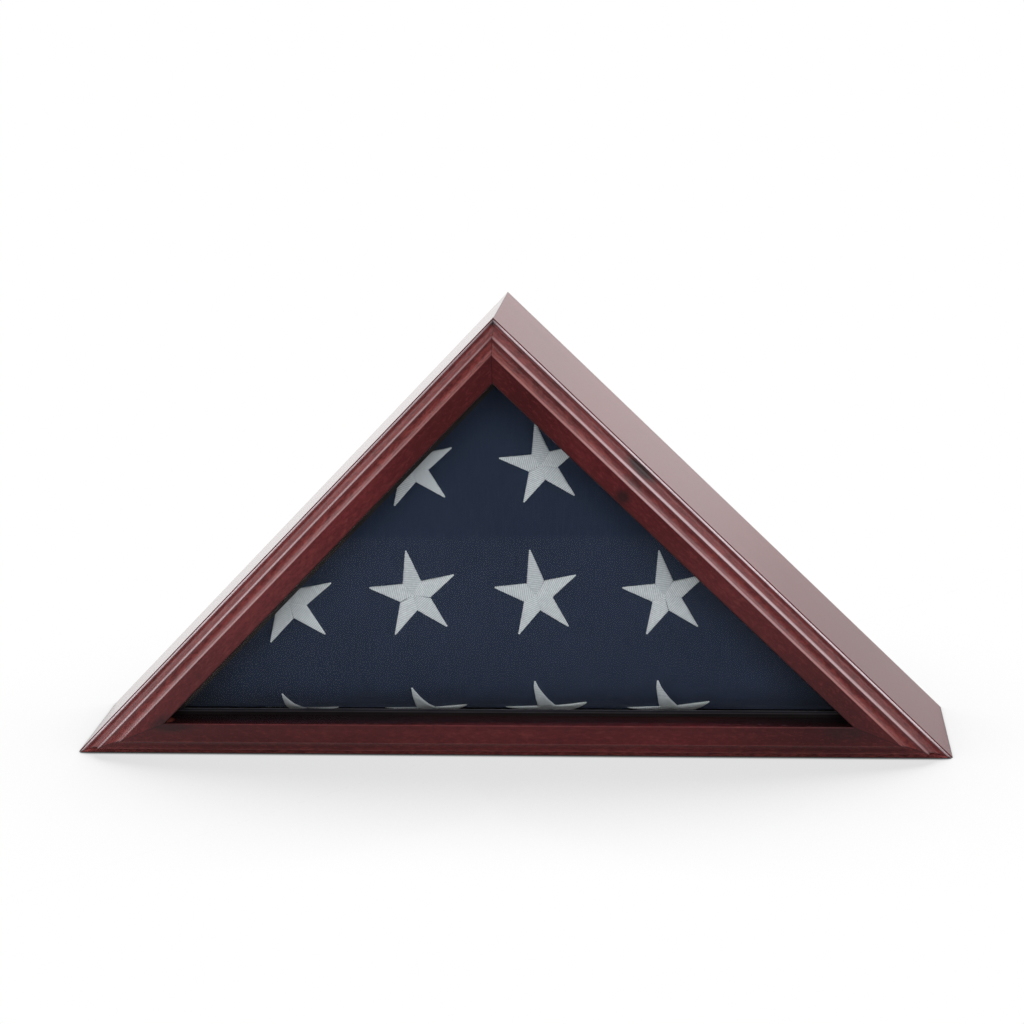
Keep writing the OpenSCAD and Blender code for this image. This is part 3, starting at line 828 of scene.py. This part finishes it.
def add_arm(mesh, shades, painted_sheen, hub, inner, tip, front, tree):
    """One arm of a star, from the hub between two inner corners to the tip: stitches laid across it."""
    axis = (tip - hub).normalized()
    side = Vector((-axis.y, axis.x))
    length = (tip - hub).length
    upper_edge, lower_edge = arm_edges(hub, inner, tip, axis, side)
    threads = int(length / THREAD_PITCH)
    lean = rng.uniform(-0.10, 0.10)
    rows = []
    for k in range(2 * threads + 1):
        along = k * length / (2 * threads)
        ridge = k % 2
        out_by = (rng.uniform(0.05, 0.35) if ridge else -0.05) * MM
        upper = edge_at(along, upper_edge) + out_by
        lower = edge_at(along, lower_edge) - out_by
        crown = rng.uniform(0.92, 1.08) if ridge else 0.66
        full = min(1.0, 0.4 + (upper - lower) / FULL_W)
        end = min(1.0, 0.3 + (length - along) / TIP_REACH)
        rim = 0.5 if along < upper_edge[1][0] * 0.97 else 0.0
        row = []
        for j in range(CELLS_ACROSS + 1):
            share = j / CELLS_ACROSS
            beside = lower + (upper - lower) * (0.5 - 0.5 * math.cos(math.pi * share))
            flat = hub + axis * (along + lean * beside) + side * beside
            place, out = cloth_point(flat.x, flat.y, front)
            hit = tree.ray_cast(place + out * SEARCH, -out, 2 * SEARCH)[0]
            if hit is None:
                row.append(None)
                continue
            rise = STAR_RISE * dome_at(share, rim) * crown * full * end
            vert = mesh.verts.new(hit + out * (rise - STAR_SINK))
            # Painted shade layer: 0 in the valleys between stitches, and lower on the rims
            vert[shades[0]] = (rng.uniform(0.75, 1.0) if ridge else 0.0) * (1.0 if 0 < share < 1 else 0.45)
            # The arm's painted sheen, the same all along it
            vert[shades[1]] = painted_sheen
            row.append(vert)
        rows.append(row)
    for first, second in zip(rows, rows[1:]):
        for j in range(CELLS_ACROSS):
            corners = (first[j], first[j + 1], second[j + 1], second[j])
            if None not in corners:
                mesh.faces.new(corners)


def make_star(name, centre, stretch, front, tree, mat):
    """A five-armed embroidered star on the cloth, its arms meeting a little beside the centre."""
    mesh = bmesh.new()
    for layer in ("ridge", "painted_sheen"):
        mesh.verts.layers.float.new(layer)
    shades = [mesh.verts.layers.float[layer] for layer in ("ridge", "painted_sheen")]
    middle = Vector(centre)
    mirror = 1 if front else -1

    def corner(radius, turn):
        return middle + radius * Vector((-mirror * stretch[0] * math.sin(turn), stretch[1] * math.cos(turn)))

    hub = middle + Vector((mirror * STAR_HUB[0], STAR_HUB[1]))
    tips = [corner(STAR_R + rng.uniform(-0.5, 0.5) * MM, STAR_TILT + k * ARM_TURN) for k in range(5)]
    inners = [corner(STAR_INNER_R, STAR_TILT + (k + 0.5) * ARM_TURN) for k in range(5)]
    for k in range(5):
        pair = (inners[k], inners[k - 1]) if front else (inners[k - 1], inners[k])
        add_arm(mesh, shades, ARM_PAINTED_SHEEN[k], hub, pair, tips[k], front, tree)
    bmesh.ops.recalc_face_normals(mesh, faces=mesh.faces)
    loose = [v for v in mesh.verts if not v.link_faces]
    bmesh.ops.delete(mesh, geom=loose, context="VERTS")
    data = bpy.data.meshes.new(name)
    mesh.to_mesh(data)
    mesh.free()
    data.polygons.foreach_set("use_smooth", [True] * len(data.polygons))
    data.materials.append(mat)
    star = bpy.data.objects.new(name, data)
    bpy.context.scene.collection.objects.link(star)
    return star


def surface_tree(obj):
    """A ray tree of an object's final mesh, in its own frame, which is the shared one."""
    evaluated = obj.evaluated_get(bpy.context.evaluated_depsgraph_get())
    mesh = evaluated.to_mesh()
    corners = [v.co.copy() for v in mesh.vertices]
    tree = BVHTree.FromPolygons(corners, [tuple(p.vertices) for p in mesh.polygons])
    evaluated.to_mesh_clear()
    return tree


def dress_flag():
    flag = make_flag()
    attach(flag, "case")
    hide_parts("folded_flag")
    bpy.context.view_layer.update()
    tree = surface_tree(flag)
    mat = star_thread()
    for front, stars in ((True, FRONT_STARS), (False, BACK_STARS)):
        for k, (x, z, width, height) in enumerate(stars):
            name = f"flag_star_{'front' if front else 'back'}_{k + 1}"
            star = make_star(name, (x * MM, z * MM), (width, height), front, tree, mat)
            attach(star, "case")


# ---------------------------------------------------------------- light and floor
# Brightness of the world as light, of the room as reflections show it, and of the floor
WORLD_LIGHT = 0.42
ROOM_SEEN = 0.18
FLOOR_ALBEDO = 0.78
FLOOR_SEEN = 0.64
# Soft shade round the case and dark contact line under it, as [darkest, reach]
FLOOR_SHADE = (0.74, 0.22)
CONTACT_SHADE = (0.05, 0.004)
FLOOR_SIZE = 80
# Where the white paper ends in front of the case
PAPER_END = -0.62


def make_world():
    """White all round for the camera; a darker room in front of the case for reflections."""
    world = bpy.data.worlds.new("studio")
    bpy.context.scene.world = world
    world.use_nodes = True
    n = Nodes(world.node_tree)
    back = n.tree.nodes["Background"]
    back.inputs["Color"].default_value = (1, 1, 1, 1)
    path = n.add("ShaderNodeLightPath")
    towards_back = n.axes(n.add("ShaderNodeTexCoord").outputs["Generated"])[1]
    room = n.spread(towards_back, ROOM_SEEN, 1.0, -0.35, 0.35)
    direct = n.maths("MAXIMUM", path.outputs["Is Camera Ray"], path.outputs["Is Transmission Ray"])
    level = n.spread(direct, WORLD_LIGHT, 1.0)
    n.join(n.spread(path.outputs["Is Glossy Ray"], level, room), back.inputs["Strength"])


def make_lamp(name, place, aim, size, radiance):
    """A softbox of a given brightness: its power follows from its area."""
    lamp = bpy.data.objects.new(name, bpy.data.lights.new(name, "AREA"))
    lamp.data.shape = "RECTANGLE"
    lamp.data.size, lamp.data.size_y = size
    lamp.data.energy = radiance * math.pi * size[0] * size[1]
    place, aim = Vector(place), Vector(aim)
    lamp.location = place
    lamp.rotation_euler = (aim - place).to_track_quat("-Z", "Y").to_euler()
    lamp.visible_camera = False
    bpy.context.scene.collection.objects.link(lamp)


def make_lamps():
    middle = (0, 0, 0.15)
    make_lamp("softbox_left", (-1.45, -0.20, 0.80), middle, (0.75, 0.75), 2.5)
    make_lamp("softbox_right", (1.30, -0.42, 0.95), middle, (0.75, 0.75), 2.5)
    make_lamp("softbox_front", (0.25, -2.3, 1.35), middle, (1.9, 1.0), 3.5)
    make_lamp("softbox_top", (0.15, 0.25, 1.9), middle, (1.3, 1.3), 5.5)


def shade_near(s, reach, darkest, from_open, to_open):
    """Darkest close to the case, rising to 1 where the floor is open to the air."""
    n = s.add("ShaderNodeAmbientOcclusion", samples=16)
    n.inputs["Distance"].default_value = reach
    return s.spread(n.outputs["AO"], darkest, 1.0, from_open, to_open)


def make_floor():
    """White paper, softly shaded round the case, and darker towards the room in reflections."""
    bpy.ops.mesh.primitive_plane_add(size=FLOOR_SIZE, location=(0, 0, FLOOR_Z))
    floor = bpy.context.object
    floor.name = "floor"
    s = Shader("floor_white")
    s.set(Base_Color=(FLOOR_ALBEDO, FLOOR_ALBEDO, FLOOR_ALBEDO, 1), Roughness=0.9, Specular_IOR_Level=0.0)
    path = s.add("ShaderNodeLightPath")
    x, y = s.axes(s.add("ShaderNodeTexCoord").outputs["Object"])[:2]
    soft = shade_near(s, FLOOR_SHADE[1], FLOOR_SHADE[0], 0.62, 0.97)
    near_white = s.product(soft, shade_near(s, CONTACT_SHADE[1], CONTACT_SHADE[0], 0.35, 0.95))
    towards_right = s.spread(x, 1.0, FLOOR_SEEN, -0.45, 0.15)
    past_paper = s.spread(y, ROOM_SEEN, 1.0, PAPER_END - 0.01, PAPER_END + 0.01)
    paper = s.product(s.maths("POWER", near_white, 2.0), towards_right, past_paper)
    glossy = path.outputs["Is Glossy Ray"]
    glow = s.add("ShaderNodeEmission")
    s.join(s.spread(glossy, near_white, paper), glow.inputs["Strength"])
    direct = s.maths("MAXIMUM", path.outputs["Is Camera Ray"], path.outputs["Is Transmission Ray"])
    s.blend(s.maths("MAXIMUM", direct, glossy), glow)
    floor.data.materials.append(s.mat)


# ---------------------------------------------------------------- the whole
bpy.context.scene.view_settings.view_transform = "Standard"
make_camera()
make_world()
make_lamps()
make_floor()
dress_case()
dress_flag()
